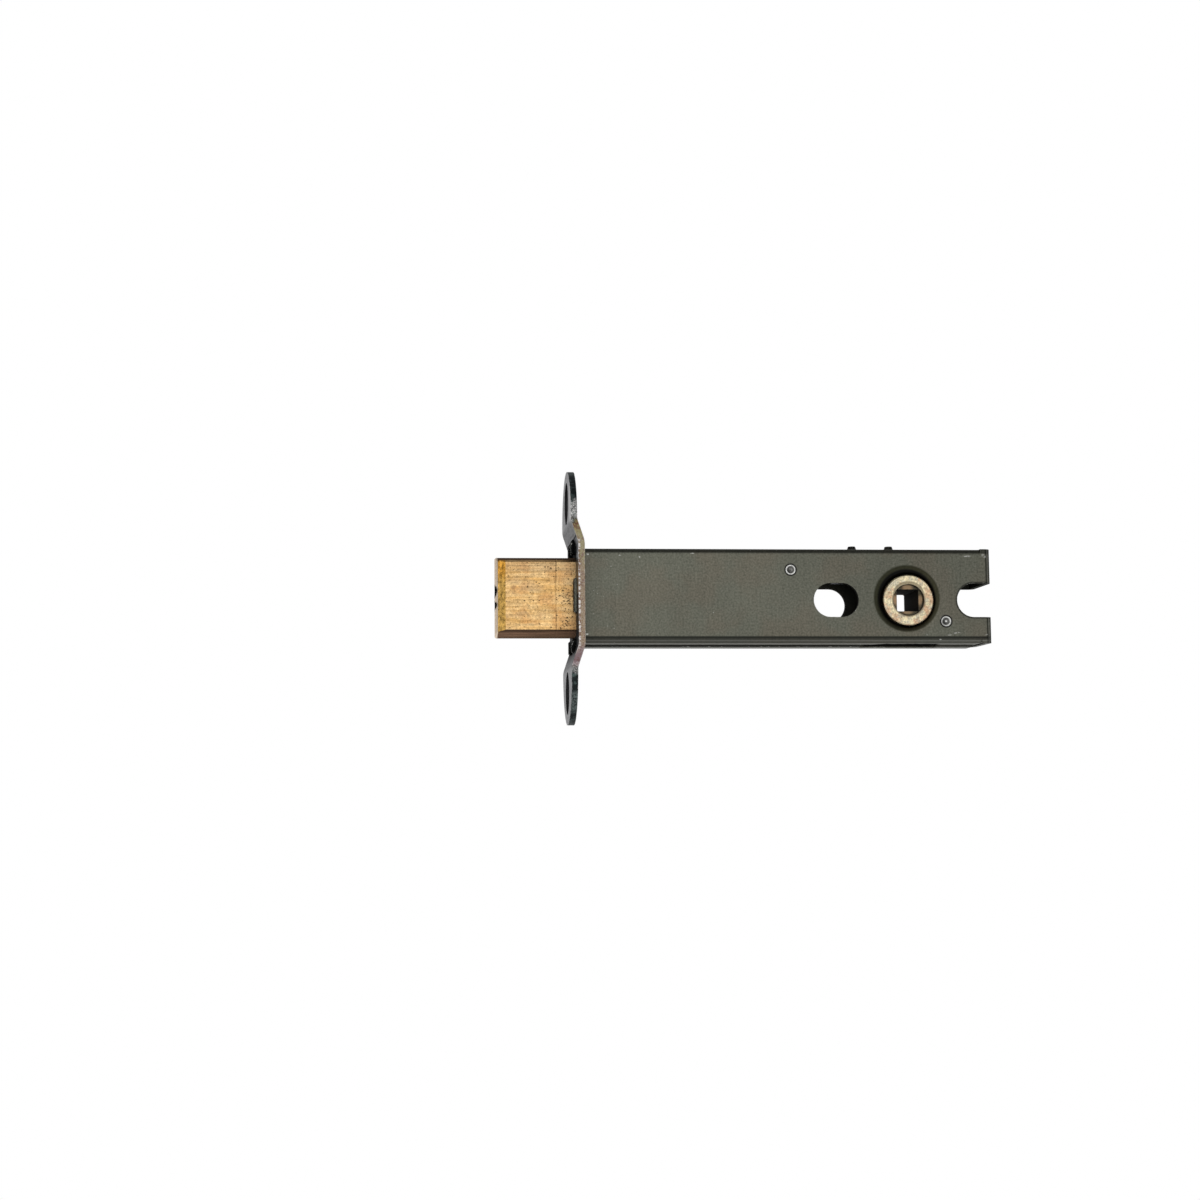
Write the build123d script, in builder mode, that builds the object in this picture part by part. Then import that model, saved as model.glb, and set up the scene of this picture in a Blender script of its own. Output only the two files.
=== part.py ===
from build123d import *
import os
from math import cos, radians, sin

# A tubular mortice deadbolt with its bolt thrown. All sizes are in millimetres.
# The origin is midway between the two screw holes, on the front of the ears.
# +X runs into the door, +Z is up, and the near side of the case faces -Y.

# Forend plate: one pressed strip whose two ears stand forward of its middle
plate_width = 25.0
plate_thickness = 1.5
ear_step = 1.7
step_slope = 5.05
step_margin = 0.7
step_inside_bend = 3.0
screw_spacing = 45.0
screw_hole_dia = 10.0
ear_land = 2.5

# Bolt head: a round brass bar with two flats and two hardened pins against sawing
bolt_round = 19.0
bolt_flats = 10.4
bolt_projection = 17.1
bolt_play = 0.15
bolt_room = 0.4
bolt_edge_break = 0.3
nose_crown = 0.6
nose_chamfer_length = 1.8
nose_chamfer_depth = 0.8
saw_pin_dia = 2.7
saw_pin_length = 34.0
saw_pin_spacing = 3.7
saw_pin_sink = 0.5
saw_pin_chamfer = 0.3
saw_pin_fit = 0.03

# Case: one folded sheet, closed at the rear by flaps, with its seam along the bottom
sheet = 1.2
inside_bend = 0.2
case_behind = 19.9
flap_depth = 2.5
seam_gap = 0.3
seam_drop = 0.4
side_tab_height = 8.2
side_tab_round = 0.65
side_tab_stand = 0.7
end_tab_width = 2.8
end_tab_offset = 3.9
tab_stand = 1.05
tab_spread = 2.1
tab_break = 0.3
tab_fit = 0.05

# Spindle, and the slot and notch where fixings pass through the case
spindle_depth = 80.0
spindle_drop = 1.0
spindle_square = 5.2
fixing_setback = 17.2
fixing_length = 10.65
fixing_height = 8.0
notch_setback = 15.6
notch_height = 8.0

# Follower and the drawn collars that it turns in
boss_dia = 11.9
boss_proud = 0.15
boss_edge_break = 0.25
boss_mouth_dia = 7.5
boss_mouth_depth = 0.9
collar_depth = 2.4
collar_mouth_bend = 0.4
collar_fit = 0.08
flange_rim = 0.7
flange_width = 1.1
flange_play = 0.2
cam_radius = 6.0
cam_flat = 4.8
finger_radius = 8.9
finger_nose = 1.2
finger_shank = 2.0
finger_width = 3.0
finger_turn = 90.0

# Bolt tail: a flat strip under the bolt head, driven by the follower's finger
tail_lift = 0.2
tail_thickness = 2.2
tail_width = 5.6
tail_end_round = 1.5
tail_end_land = 2.8
foot_width = 8.6
foot_overlap = 16.0
foot_round = 1.0
drive_play = 0.55
drive_side_play = 0.15
finger_slot_ahead = 10.0
finger_slot_behind = 8.3
finger_slot_play = 0.2
tail_rivet_dia = 3.0
tail_rivet_head_dia = 4.6
tail_rivet_spacing = 7.0
tail_rivet_grip = 4.0
tail_rivet_fit = 0.03

# Cross pins: one stops the bolt when it is drawn back, the other stops the finger
stop_pin_depth = 52.1
stop_pin_rise = 6.1
stop_pin_dia = 3.4
stop_pin_end_dia = 2.4
stop_gap = 0.1
rear_pin_ahead = 2.56
rear_pin_rise = 1.29
rear_pin_dia = 2.4
rear_pin_end_dia = 2.7
pin_neck_dia = 2.0
pin_rim = 0.3
pin_dish = 0.25
pin_fit = 0.03
pin_ring = 0.12

# Detent spring: a hairpin leaf riveted under the top of the case
spring_thickness = 0.5
spring_width = 5.0
spring_ahead = 15.5
spring_behind = 5.5
spring_gap = 0.03
spring_tip_bend = 2.5
spring_tip_turn = 35.0
spring_rivet_setback = 11.6
spring_rivet_spacing = 8.9
spring_rivet_dia = 1.6
spring_rivet_head_dia = 2.5
spring_rivet_height = 1.4
spring_rivet_rim = 0.25
spring_rivet_taper = 0.4
spring_rivet_foot_dia = 3.0
spring_rivet_foot = 0.8
spring_rivet_fit = 0.03

# Sizes that follow from those above
plate_height = screw_spacing + screw_hole_dia + 2 * ear_land
half_plate = plate_height / 2
case_front = ear_step + plate_thickness
case_height = bolt_round + 2 * (bolt_room + sheet)
case_depth = bolt_flats + 2 * (bolt_room + sheet)
half_height = case_height / 2
half_depth = case_depth / 2
inner_height = half_height - sheet
inner_depth = half_depth - sheet
outer_bend = inside_bend + sheet
case_reach = spindle_depth + case_behind
tube_end = case_reach - flap_depth
step_foot = half_height + step_margin
step_top = step_foot + step_slope
tab_front = ear_step - tab_stand
side_tab_front = ear_step - side_tab_stand
axle_z = -spindle_drop
fixing_x = spindle_depth - fixing_setback
notch_x = spindle_depth + notch_setback
boss_end = half_depth + boss_proud
collar_bore = boss_dia / 2 + collar_fit
collar_back = collar_bore + sheet
collar_mouth = collar_back + collar_mouth_bend
collar_end = half_depth - collar_depth
flange_face = collar_end - flange_play
cam_face = flange_face - flange_width
finger_angle = radians(finger_turn / 2)
half_throw = finger_radius * sin(finger_angle)
bolt_throw = 2 * half_throw
bolt_rear = stop_pin_depth - stop_pin_dia / 2 - stop_gap - bolt_throw
bolt_length = bolt_rear + bolt_projection
nose_edge_x = nose_crown - bolt_projection
nose_half = bolt_flats / 2 - nose_chamfer_depth
tail_bottom = tail_lift - inner_height
tail_top = tail_bottom + tail_thickness
tail_front = bolt_rear - foot_overlap
drive_x = spindle_depth - half_throw
drive_length = 2 * (finger_nose + drive_play)
drive_width = finger_width + 2 * drive_side_play
tail_end = drive_x + drive_length / 2 + tail_end_land
rivet_mid_x = bolt_rear - foot_overlap / 2
rear_pin_x = spindle_depth + half_throw + rear_pin_ahead
rear_pin_z = axle_z - finger_radius * cos(finger_angle) + rear_pin_rise
spring_top = inner_height - spring_thickness / 2
spring_low = axle_z + cam_flat + spring_gap + spring_thickness / 2
spring_front = spindle_depth - spring_ahead
spring_tip = spindle_depth + spring_behind
spring_rivet_first = spindle_depth - spring_rivet_setback
spring_rivet_second = spring_rivet_first + spring_rivet_spacing

axle = Plane((spindle_depth, 0, axle_z), x_dir=(1, 0, 0), z_dir=(0, -1, 0))


def save(piece, name):
    piece.part.label = name
    export_step(piece.part, "parts/" + name + ".step")


def draw_bolt_outline(play):
    Circle(bolt_round / 2 + play)
    Rectangle(bolt_flats + 2 * play, 2 * bolt_round, mode=Mode.INTERSECT)


def riveted_pin(x, z, body_dia, end_dia):
    neck = pin_neck_dia / 2
    end = end_dia / 2
    shoulder = inner_depth - pin_fit
    with BuildPart() as pin:
        with BuildSketch(Plane((x, 0, z))):
            with BuildLine():
                Polyline(
                    (0, 0),
                    (body_dia / 2, 0),
                    (body_dia / 2, shoulder),
                    (neck, shoulder),
                    (neck, half_depth - (end - neck)),
                    (end, half_depth),
                    (end - pin_rim, half_depth),
                )
                Line((0, half_depth - pin_dish), (end - pin_rim, half_depth))
                Line((0, half_depth - pin_dish), (0, 0))
            make_face()
        revolve(axis=Axis((x, 0, z), (0, 1, 0)))
        mirror(about=Plane.XZ)
    return pin


def tail_rivet(x):
    shank = tail_rivet_dia / 2
    head = tail_rivet_head_dia / 2
    with BuildPart() as rivet:
        with BuildSketch(Plane((x, 0, tail_bottom), x_dir=(1, 0, 0), z_dir=(0, -1, 0))):
            with BuildLine():
                Polyline(
                    (0, 0),
                    (head, 0),
                    (shank, head - shank),
                    (shank, tail_thickness + tail_rivet_grip),
                    (0, tail_thickness + tail_rivet_grip),
                    close=True,
                )
            make_face()
        revolve(axis=Axis((x, 0, 0), (0, 0, 1)))
    return rivet


def spring_rivet(x):
    shank = spring_rivet_dia / 2
    head = spring_rivet_head_dia / 2
    foot = spring_rivet_foot_dia / 2
    leaf_under = inner_height - spring_thickness
    crown = half_height + spring_rivet_height
    top = head - spring_rivet_taper
    with BuildPart() as rivet:
        with BuildSketch(Plane((x, 0, 0), x_dir=(1, 0, 0), z_dir=(0, -1, 0))):
            with BuildLine():
                Polyline(
                    (0, crown),
                    (0, leaf_under - spring_rivet_foot),
                    (foot, leaf_under - spring_rivet_foot),
                    (foot, leaf_under),
                    (shank, leaf_under),
                    (shank, half_height),
                    (head, half_height),
                    (head, half_height + spring_rivet_rim),
                    (top, crown),
                    close=True,
                )
            make_face()
        revolve(axis=Axis((x, 0, 0), (0, 0, 1)))
    return rivet


os.makedirs("parts", exist_ok=True)

# The forend plate follows its side profile, then takes its round-ended outline
with BuildPart() as forend_plate:
    step_outside_bend = step_inside_bend + plate_thickness
    with BuildSketch(Plane.XZ):
        with BuildLine():
            FilletPolyline(
                (0, half_plate),
                (0, step_top),
                (ear_step, step_foot),
                (ear_step, -step_foot),
                (0, -step_top),
                (0, -half_plate),
                radius=[step_outside_bend, step_inside_bend, step_inside_bend, step_outside_bend],
            )
            offset(amount=plate_thickness, side=Side.LEFT)
        make_face()
    extrude(amount=plate_width / 2, both=True)
    with BuildSketch(Plane.YZ):
        SlotOverall(plate_height, plate_width, rotation=90)
    extrude(amount=2 * case_front, both=True, mode=Mode.INTERSECT)
    with BuildSketch(Plane.YZ):
        draw_bolt_outline(bolt_play)
        with GridLocations(0, screw_spacing, 1, 2):
            Circle(screw_hole_dia / 2)
        Rectangle(case_depth + 2 * tab_fit, side_tab_height + 2 * tab_fit)
        with GridLocations(2 * end_tab_offset, 0, 2, 1):
            Rectangle(end_tab_width + 2 * tab_fit, case_height + 2 * tab_fit)
    extrude(amount=2 * case_front, both=True, mode=Mode.SUBTRACT)
save(forend_plate, "forend_plate")

# A drawn collar, where the near wall of the case turns inward around the follower
with BuildPart() as collar:
    bend_start = half_depth - sheet - collar_mouth_bend
    with BuildSketch(Plane((spindle_depth, 0, axle_z))):
        with BuildLine():
            Line((collar_bore, -collar_end), (collar_bore, -bend_start))
            RadiusArc(
                (collar_bore, -bend_start),
                (collar_mouth, -half_depth),
                -(collar_mouth_bend + sheet),
            )
            Line((collar_mouth, -half_depth), (collar_mouth, -inner_depth))
            Line((collar_mouth, -inner_depth), (collar_back, -bend_start))
            Line((collar_back, -bend_start), (collar_back, -collar_end))
            Line((collar_back, -collar_end), (collar_bore, -collar_end))
        make_face()
    revolve(axis=Axis((spindle_depth, 0, axle_z), (0, 1, 0)))

# The case is folded from one sheet, with tabs clenched through the forend plate
with BuildPart() as case:
    # Past the seam the far half of the bottom hangs a little below the near half
    for half, drop in ((Align.MAX, 0), (Align.MIN, seam_drop)):
        with BuildSketch(Plane.YZ.offset(case_front)):
            with Locations((0, -drop / 2)):
                RectangleRounded(case_depth, case_height + drop, outer_bend)
                RectangleRounded(2 * inner_depth, 2 * inner_height + drop, inside_bend, mode=Mode.SUBTRACT)
            Rectangle(case_depth, 2 * case_height, align=(half, Align.CENTER), mode=Mode.INTERSECT)
        extrude(amount=tube_end - case_front)
    with BuildSketch(Plane.XY):
        with BuildLine():
            FilletPolyline(
                (tube_end, -half_depth),
                (case_reach, -half_depth),
                (case_reach, half_depth),
                (tube_end, half_depth),
                radius=outer_bend,
            )
            offset(amount=sheet, side=Side.LEFT)
        make_face()
    extrude(amount=half_height, both=True)
    # The clenched end tabs spread over the front of the plate
    with BuildSketch(Plane.YZ.offset(ear_step)):
        with GridLocations(2 * end_tab_offset, case_height - sheet, 2, 2):
            Rectangle(end_tab_width, sheet)
    extrude(amount=plate_thickness)
    with BuildSketch(Plane.YZ.offset(tab_front)):
        with GridLocations(2 * end_tab_offset, case_height - sheet + tab_spread, 2, 2):
            Rectangle(end_tab_width, sheet + tab_spread)
    extrude(amount=tab_stand)
    add(forend_plate.part, mode=Mode.SUBTRACT)
    chamfer(case.edges().group_by(Axis.X)[0], tab_break)
    for side in (1, -1):
        with BuildSketch(Plane.XZ.offset(side * inner_depth)) as side_tab:
            with Locations((side_tab_front, 0)):
                Rectangle(case_front - side_tab_front, side_tab_height, align=(Align.MIN, Align.CENTER))
            fillet(side_tab.vertices().group_by(Axis.X)[0], side_tab_round)
        extrude(amount=side * sheet)
    # Seam of the folded sheet, and the slot that lets the finger's tip swing through
    with BuildSketch(Plane.XY.offset(-inner_height)):
        with Locations((case_front, 0)):
            Rectangle(case_reach, seam_gap, align=(Align.MIN, Align.CENTER))
        with Locations((spindle_depth - finger_slot_ahead, 0)):
            Rectangle(
                finger_slot_ahead + finger_slot_behind,
                finger_width + 2 * finger_slot_play,
                align=(Align.MIN, Align.CENTER),
            )
    extrude(amount=-sheet - seam_drop, mode=Mode.SUBTRACT)
    with BuildSketch(Plane.XY):
        with Locations((case_reach, 0)):
            Rectangle(2 * flap_depth, seam_gap)
    extrude(amount=inner_height, both=True, mode=Mode.SUBTRACT)
    # Passages for the fixings, and the mouths of the collars
    with BuildSketch(Plane.XZ):
        with Locations((fixing_x, axle_z)):
            SlotOverall(fixing_length, fixing_height)
        with Locations((notch_x, axle_z)):
            Circle(notch_height / 2)
            Rectangle(case_reach, notch_height, align=(Align.MIN, Align.CENTER))
        with Locations((spindle_depth, axle_z)):
            Circle(collar_mouth)
    extrude(amount=case_depth, both=True, mode=Mode.SUBTRACT)
    add(collar.part)
    mirror(collar.part, about=Plane.XZ)
    # Countersunk holes for the cross pins in both walls
    for x, z, end_dia in (
        (stop_pin_depth, stop_pin_rise, stop_pin_end_dia),
        (rear_pin_x, rear_pin_z, rear_pin_end_dia),
    ):
        for side in (1, -1):
            with Locations(Plane((x, side * half_depth, z), z_dir=(0, side, 0))):
                CounterSinkHole(
                    pin_neck_dia / 2 + pin_fit,
                    end_dia / 2 + pin_ring,
                    depth=2 * sheet,
                    counter_sink_angle=90,
                )
    with Locations((spring_rivet_first, 0, half_height), (spring_rivet_second, 0, half_height)):
        Hole(spring_rivet_dia / 2 + spring_rivet_fit, depth=2 * sheet)
save(case, "case")

# The bolt head is rebated below for the tail and bored from its nose for the pins
with BuildPart() as bolt_head:
    with BuildSketch(Plane.YZ.offset(-bolt_projection)):
        draw_bolt_outline(0)
    extrude(amount=bolt_length)
    with BuildSketch(Plane.XY):
        with BuildLine():
            crown = ThreePointArc((nose_edge_x, -nose_half), (-bolt_projection, 0), (nose_edge_x, nose_half))
            Polyline(
                crown @ 1,
                (nose_edge_x + nose_chamfer_length, bolt_flats / 2),
                (bolt_rear, bolt_flats / 2),
                (bolt_rear, -bolt_flats / 2),
                (nose_edge_x + nose_chamfer_length, -bolt_flats / 2),
                crown @ 0,
            )
        make_face()
    extrude(amount=bolt_round, both=True, mode=Mode.INTERSECT)
    nose = bolt_head.faces().sort_by(Axis.X)[0]
    chamfer(nose.edges().filter_by(GeomType.LINE, reverse=True), bolt_edge_break)
    with BuildSketch(Plane.YZ.offset(-bolt_projection)):
        with GridLocations(0, saw_pin_spacing, 1, 2):
            Circle(saw_pin_dia / 2 + saw_pin_fit)
    extrude(amount=saw_pin_sink + saw_pin_length, mode=Mode.SUBTRACT)
    with BuildSketch(Plane.XY.offset(tail_top)):
        with Locations((tail_front, 0)):
            Rectangle(foot_overlap, bolt_round, align=(Align.MIN, Align.CENTER))
    extrude(amount=-bolt_round, mode=Mode.SUBTRACT)
    with BuildSketch(Plane.XY.offset(tail_top)):
        with Locations((rivet_mid_x, 0)):
            with GridLocations(tail_rivet_spacing, 0, 2, 1):
                Circle(tail_rivet_dia / 2 + tail_rivet_fit)
    extrude(amount=tail_rivet_grip, mode=Mode.SUBTRACT)
save(bolt_head, "bolt_head")

# Hardened pins that turn under a saw blade
for name, place in (("upper", 0.5), ("lower", -0.5)):
    with BuildPart() as saw_pin:
        with BuildSketch(Plane.YZ.offset(saw_pin_sink - bolt_projection)):
            with Locations((0, place * saw_pin_spacing)):
                Circle(saw_pin_dia / 2)
        extrude(amount=saw_pin_length)
        chamfer(saw_pin.edges().filter_by(GeomType.CIRCLE), saw_pin_chamfer)
    save(saw_pin, "hardened_pin_" + name)

# The tail widens to a foot under the bolt head and ends past its drive window
with BuildPart() as bolt_tail:
    with BuildSketch(Plane.XY.offset(tail_bottom)) as strip:
        with Locations((tail_front, 0)):
            Rectangle(tail_end - tail_front, tail_width, align=(Align.MIN, Align.CENTER))
        fillet(strip.vertices().group_by(Axis.X)[-1], tail_end_round)
        with Locations((tail_front, 0)):
            Rectangle(foot_overlap, foot_width, align=(Align.MIN, Align.CENTER))
        fillet(strip.vertices().group_by(Axis.Y)[0] + strip.vertices().group_by(Axis.Y)[-1], foot_round)
        with Locations((drive_x, 0)):
            Rectangle(drive_length, drive_width, mode=Mode.SUBTRACT)
    extrude(amount=tail_thickness)
    with Locations(Plane((rivet_mid_x, 0, tail_bottom), x_dir=(1, 0, 0), z_dir=(0, 0, -1))):
        with GridLocations(tail_rivet_spacing, 0, 2, 1):
            CounterSinkHole(
                tail_rivet_dia / 2 + tail_rivet_fit,
                tail_rivet_head_dia / 2 + tail_rivet_fit,
                depth=tail_thickness,
                counter_sink_angle=90,
            )
save(bolt_tail, "bolt_tail")
save(tail_rivet(rivet_mid_x - tail_rivet_spacing / 2), "tail_rivet_front")
save(tail_rivet(rivet_mid_x + tail_rivet_spacing / 2), "tail_rivet_rear")

# The follower: two bosses, two flanges, a flatted cam and the finger that throws the bolt
with BuildPart() as follower:
    with BuildSketch(axle):
        Circle(cam_radius)
        with Locations((cam_flat, cam_flat)):
            Rectangle(4 * cam_radius, 4 * cam_radius, align=(Align.MAX, Align.MAX), mode=Mode.INTERSECT)
    extrude(amount=cam_face, both=True)
    for side in (1, -1):
        with BuildSketch(axle.offset(side * cam_face)):
            Circle(boss_dia / 2 + flange_rim)
        extrude(amount=side * flange_width)
        with BuildSketch(axle.offset(side * flange_face)):
            Circle(boss_dia / 2)
        extrude(amount=side * (boss_end - flange_face))
    ends = follower.faces().group_by(Axis.Y)
    chamfer(ends[0].edges() + ends[-1].edges(), boss_edge_break)
    with BuildSketch(axle):
        with PolarLocations(finger_radius, 1, start_angle=270 - finger_turn / 2):
            Circle(finger_nose)
            Rectangle(finger_radius, finger_shank, align=(Align.MAX, Align.CENTER))
    extrude(amount=finger_width / 2, both=True)
    with BuildSketch(axle):
        Rectangle(spindle_square, spindle_square)
    extrude(amount=boss_end, both=True, mode=Mode.SUBTRACT)
    for side in (1, -1):
        with BuildSketch(axle.offset(side * boss_end)):
            Circle(boss_mouth_dia / 2)
        extrude(amount=-side * boss_mouth_depth, mode=Mode.SUBTRACT)
save(follower, "follower")

# The hairpin spring presses on the flats of the cam and holds the bolt in or out
with BuildPart() as detent_spring:
    with BuildSketch(Plane.XZ):
        with BuildLine():
            Line((spindle_depth, spring_top), (spring_front, spring_top))
            CenterArc((spring_front, (spring_top + spring_low) / 2), (spring_top - spring_low) / 2, 90, 180)
            Line((spring_front, spring_low), (spring_tip, spring_low))
            JernArc((spring_tip, spring_low), (1, 0), spring_tip_bend, spring_tip_turn)
            offset(amount=spring_thickness / 2)
        make_face()
    extrude(amount=spring_width / 2, both=True)
    with Locations((spring_rivet_first, 0, inner_height), (spring_rivet_second, 0, inner_height)):
        Hole(spring_rivet_dia / 2 + spring_rivet_fit, depth=2 * spring_thickness)
save(detent_spring, "detent_spring")
save(spring_rivet(spring_rivet_first), "spring_rivet_front")
save(spring_rivet(spring_rivet_second), "spring_rivet_rear")

save(riveted_pin(stop_pin_depth, stop_pin_rise, stop_pin_dia, stop_pin_end_dia), "front_pin")
save(riveted_pin(rear_pin_x, rear_pin_z, rear_pin_dia, rear_pin_end_dia), "rear_pin")
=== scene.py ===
from math import cos, radians, sin

import bpy
from mathutils import Matrix, Vector


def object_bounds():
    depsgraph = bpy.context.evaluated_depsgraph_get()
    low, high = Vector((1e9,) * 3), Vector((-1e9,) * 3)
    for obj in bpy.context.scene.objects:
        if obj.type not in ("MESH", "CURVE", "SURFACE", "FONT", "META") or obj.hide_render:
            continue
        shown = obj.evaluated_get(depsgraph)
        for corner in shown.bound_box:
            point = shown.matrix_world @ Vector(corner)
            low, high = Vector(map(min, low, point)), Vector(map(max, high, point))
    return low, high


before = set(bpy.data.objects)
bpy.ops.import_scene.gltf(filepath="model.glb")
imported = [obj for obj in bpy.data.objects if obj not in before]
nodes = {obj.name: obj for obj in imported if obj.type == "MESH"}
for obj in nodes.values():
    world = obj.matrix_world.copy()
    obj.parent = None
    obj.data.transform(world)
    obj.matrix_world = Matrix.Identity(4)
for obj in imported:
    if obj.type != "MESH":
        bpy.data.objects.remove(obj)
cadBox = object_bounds()
print("frame:", len(nodes), "nodes loaded")

mmPerMetre = 1000.0
plainWhite = (1, 1, 1, 1)


class Wire:
    # one output of a shader node, so that masks read as sums
    def __init__(self, paint, socket):
        self.paint = paint
        self.socket = socket

    def calc(self, operation, first, second):
        return self.paint.node("Math", {"operation": operation}, {0: first, 1: second})

    def __add__(self, other):
        return self.calc("ADD", self, other)

    def __radd__(self, other):
        return self.calc("ADD", other, self)

    def __sub__(self, other):
        return self.calc("SUBTRACT", self, other)

    def __rsub__(self, other):
        return self.calc("SUBTRACT", other, self)

    def __mul__(self, other):
        return self.calc("MULTIPLY", self, other)

    def __rmul__(self, other):
        return self.calc("MULTIPLY", other, self)

    def __truediv__(self, other):
        return self.calc("DIVIDE", self, other)

    def __rtruediv__(self, other):
        return self.calc("DIVIDE", other, self)

    def __pow__(self, other):
        return self.calc("POWER", self, other)

    def __abs__(self):
        return self.calc("ABSOLUTE", self, 0)

    def __lt__(self, other):
        return self.calc("LESS_THAN", self, other)

    def __gt__(self, other):
        return self.calc("GREATER_THAN", self, other)

    def atLeast(self, other):
        return self.calc("MAXIMUM", self, other)

    def atMost(self, other):
        return self.calc("MINIMUM", self, other)

    def hypot(self, other):
        return (self * self + other * other) ** 0.5

    def swing(self, amount):
        # a noise as a change up and down about nothing
        return amount * (self - 0.5)


class Paint:
    # fills one shader tree; lengths on a piece are in millimetres
    edgeSamples = 6
    edgeRange = (0.01, 0.16)
    bumpSamples = 4
    bumpEdge = 0.12
    speckCore = 0.25
    speckReach = 0.5
    nickSoft = (0.4, 1.1)

    def __init__(self, tree):
        self.tree = tree

    def node(self, kind, settings=None, sockets=None, out=0):
        made = self.tree.nodes.new("ShaderNode" + kind)
        for name, value in (settings or {}).items():
            setattr(made, name, value)
        for name, value in (sockets or {}).items():
            if isinstance(value, Wire):
                self.tree.links.new(value.socket, made.inputs[name])
            else:
                made.inputs[name].default_value = value
        return Wire(self, made.outputs[out])

    def link(self, wire, shader, socket):
        self.tree.links.new(wire.socket, shader.inputs[socket])

    def mapped(self, stretch=(1, 1, 1), shift=(0, 0, 0)):
        sockets = {"Vector": self.place, "Scale": stretch, "Location": shift}
        return self.node("Mapping", None, sockets)

    def ramp(self, value, low, high):
        sockets = {0: value, 1: low, 2: high}
        return self.node("MapRange", {"interpolation_type": "SMOOTHSTEP"}, sockets)

    def fade(self, value, low, high):
        return 1 - self.ramp(value, low, high)

    def span(self, value, start, stop):
        # 1 between two soft ends
        return self.ramp(value, *start) * self.fade(value, *stop)

    def line(self, value, place, reach):
        # 1 at one place, soft on both sides of it
        return self.fade(abs(value - place), *reach)

    def noise(self, scale, detail, stretch=(1, 1, 1), shift=(0, 0, 0)):
        sockets = {"Vector": self.mapped(stretch, shift), "Scale": scale, "Detail": detail}
        return self.node("TexNoise", None, sockets)

    def waves(self, look, *names):
        # the noises that several steps of one finish share
        return {name: self.noise(**look[name]) for name in names}

    def patches(self, wave, limits):
        # the high parts of a noise
        return self.ramp(self.noise(**wave), *limits)

    def specks(self, spacing, size, share, stretch=(1, 1, 1)):
        # soft spots, one to a cell, in a share of the cells
        sockets = {"Vector": self.mapped(stretch), "Scale": 1 / spacing}
        cell = self.node("TexVoronoi", None, sockets)
        shade = Wire(self, cell.socket.node.outputs["Color"])
        chance = self.node("SeparateColor", None, {0: shade})
        ratio = size / spacing
        return self.fade(cell, self.speckCore * ratio, self.speckReach * ratio) * (chance < share)

    def nick(self, x, z, length, width, tilt=0.0):
        # one soft mark on a side face, its length turned up by a tilt in degrees
        turn = radians(tilt)
        along = (self.x - x) * cos(turn) + (self.z - z) * sin(turn)
        across = (self.z - z) * cos(turn) - (self.x - x) * sin(turn)
        return self.fade((2 * along / length).hypot(2 * across / width), *self.nickSoft)

    def around(self, x, z):
        # distance from an axis that runs across the lock
        return (self.x - x).hypot(self.z - z)

    def mix(self, share, first, second):
        return self.node("Mix", {"data_type": "RGBA"}, {0: share, 6: first, 7: second}, out=2)

    def tone(self, colour, amount):
        # a colour made lighter or darker by a varying amount
        settings = {"data_type": "RGBA", "blend_type": "MULTIPLY"}
        return self.node("Mix", settings, {0: 1.0, 6: colour, 7: amount}, out=2)

    def softNormal(self, samples, radius):
        return self.node("Bevel", {"samples": samples}, {"Radius": radius / mmPerMetre})

    def edges(self, radius):
        # 1 along the sharp edges of a piece, 0 on its faces
        soft = self.softNormal(self.edgeSamples, radius)
        true = self.node("NewGeometry", None, None, out="Normal")
        dot = {"operation": "DOT_PRODUCT"}
        alike = self.node("VectorMath", dot, {0: soft, 1: true}, out="Value")
        return self.ramp(1 - alike, *self.edgeRange)

    def bump(self, height, depth):
        soft = self.softNormal(self.bumpSamples, self.bumpEdge)
        sockets = {"Strength": 1.0, "Distance": depth / mmPerMetre, "Height": height, "Normal": soft}
        return self.node("Bump", None, sockets)


def most(*masks):
    # the strongest of several masks at each point
    top = masks[0]
    for mask in masks[1:]:
        top = top.atLeast(mask)
    return top


def layered(shares, **masks):
    return most(*(shares[name] * mask for name, mask in masks.items()))


def mottled(swings, *waves):
    # an amount about 1 that follows several noises
    amount = 1
    for swing, wave in zip(swings, waves):
        amount = amount + wave.swing(swing)
    return amount


def newFinish(name, **fixed):
    material = bpy.data.materials.new(name)
    material.use_nodes = True
    paint = Paint(material.node_tree)
    paint.material = material
    paint.shader = material.node_tree.nodes["Principled BSDF"]
    for socket, value in fixed.items():
        paint.shader.inputs[socket.replace("_", " ")].default_value = value
    where = paint.node("TexCoord", None, None, out="Object")
    paint.place = paint.node("VectorMath", {"operation": "SCALE"}, {0: where, "Scale": mmPerMetre})
    paint.x, paint.y, paint.z = (
        paint.node("SeparateXYZ", None, {0: paint.place}, out=axis) for axis in range(3)
    )
    return paint


def cover(paint, share, over):
    # a second shader over part of a finish
    base = Wire(paint, paint.shader.outputs[0])
    both = paint.node("MixShader", None, {0: share, 1: base, 2: over})
    paint.link(both, paint.tree.nodes["Material Output"], "Surface")


def film(paint, share, colour):
    # a matt layer with no reflection, such as soot or oil
    matt = {"Base Color": colour, "Roughness": 1.0, "Specular IOR Level": 0.0}
    cover(paint, share, paint.node("BsdfPrincipled", None, matt))


def dress(paint, names, **wires):
    for socket, wire in wires.items():
        paint.link(wire, paint.shader, socket.replace("_", " "))
    for name in names:
        mesh = nodes[name].data
        mesh.materials.clear()
        mesh.materials.append(paint.material)
        mesh.polygons.foreach_set("use_smooth", [True] * len(mesh.polygons))
    print("finish:", paint.material.name, "on", ", ".join(names))


# Camera, from the places of the holes, corners and pins in the picture
photoView = {
    "place": (-0.03181, -0.38885, -0.04271),
    "yaw": 3.322,
    "pitch": 4.956,
    "roll": -0.266,
    "focalPixels": 1659.8,
    "axisPixel": (528.0, 636.0),
    "imagePixels": 1200.0,
    "sensorWidth": 36,
    "clipStart": 0.01,
}


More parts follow.
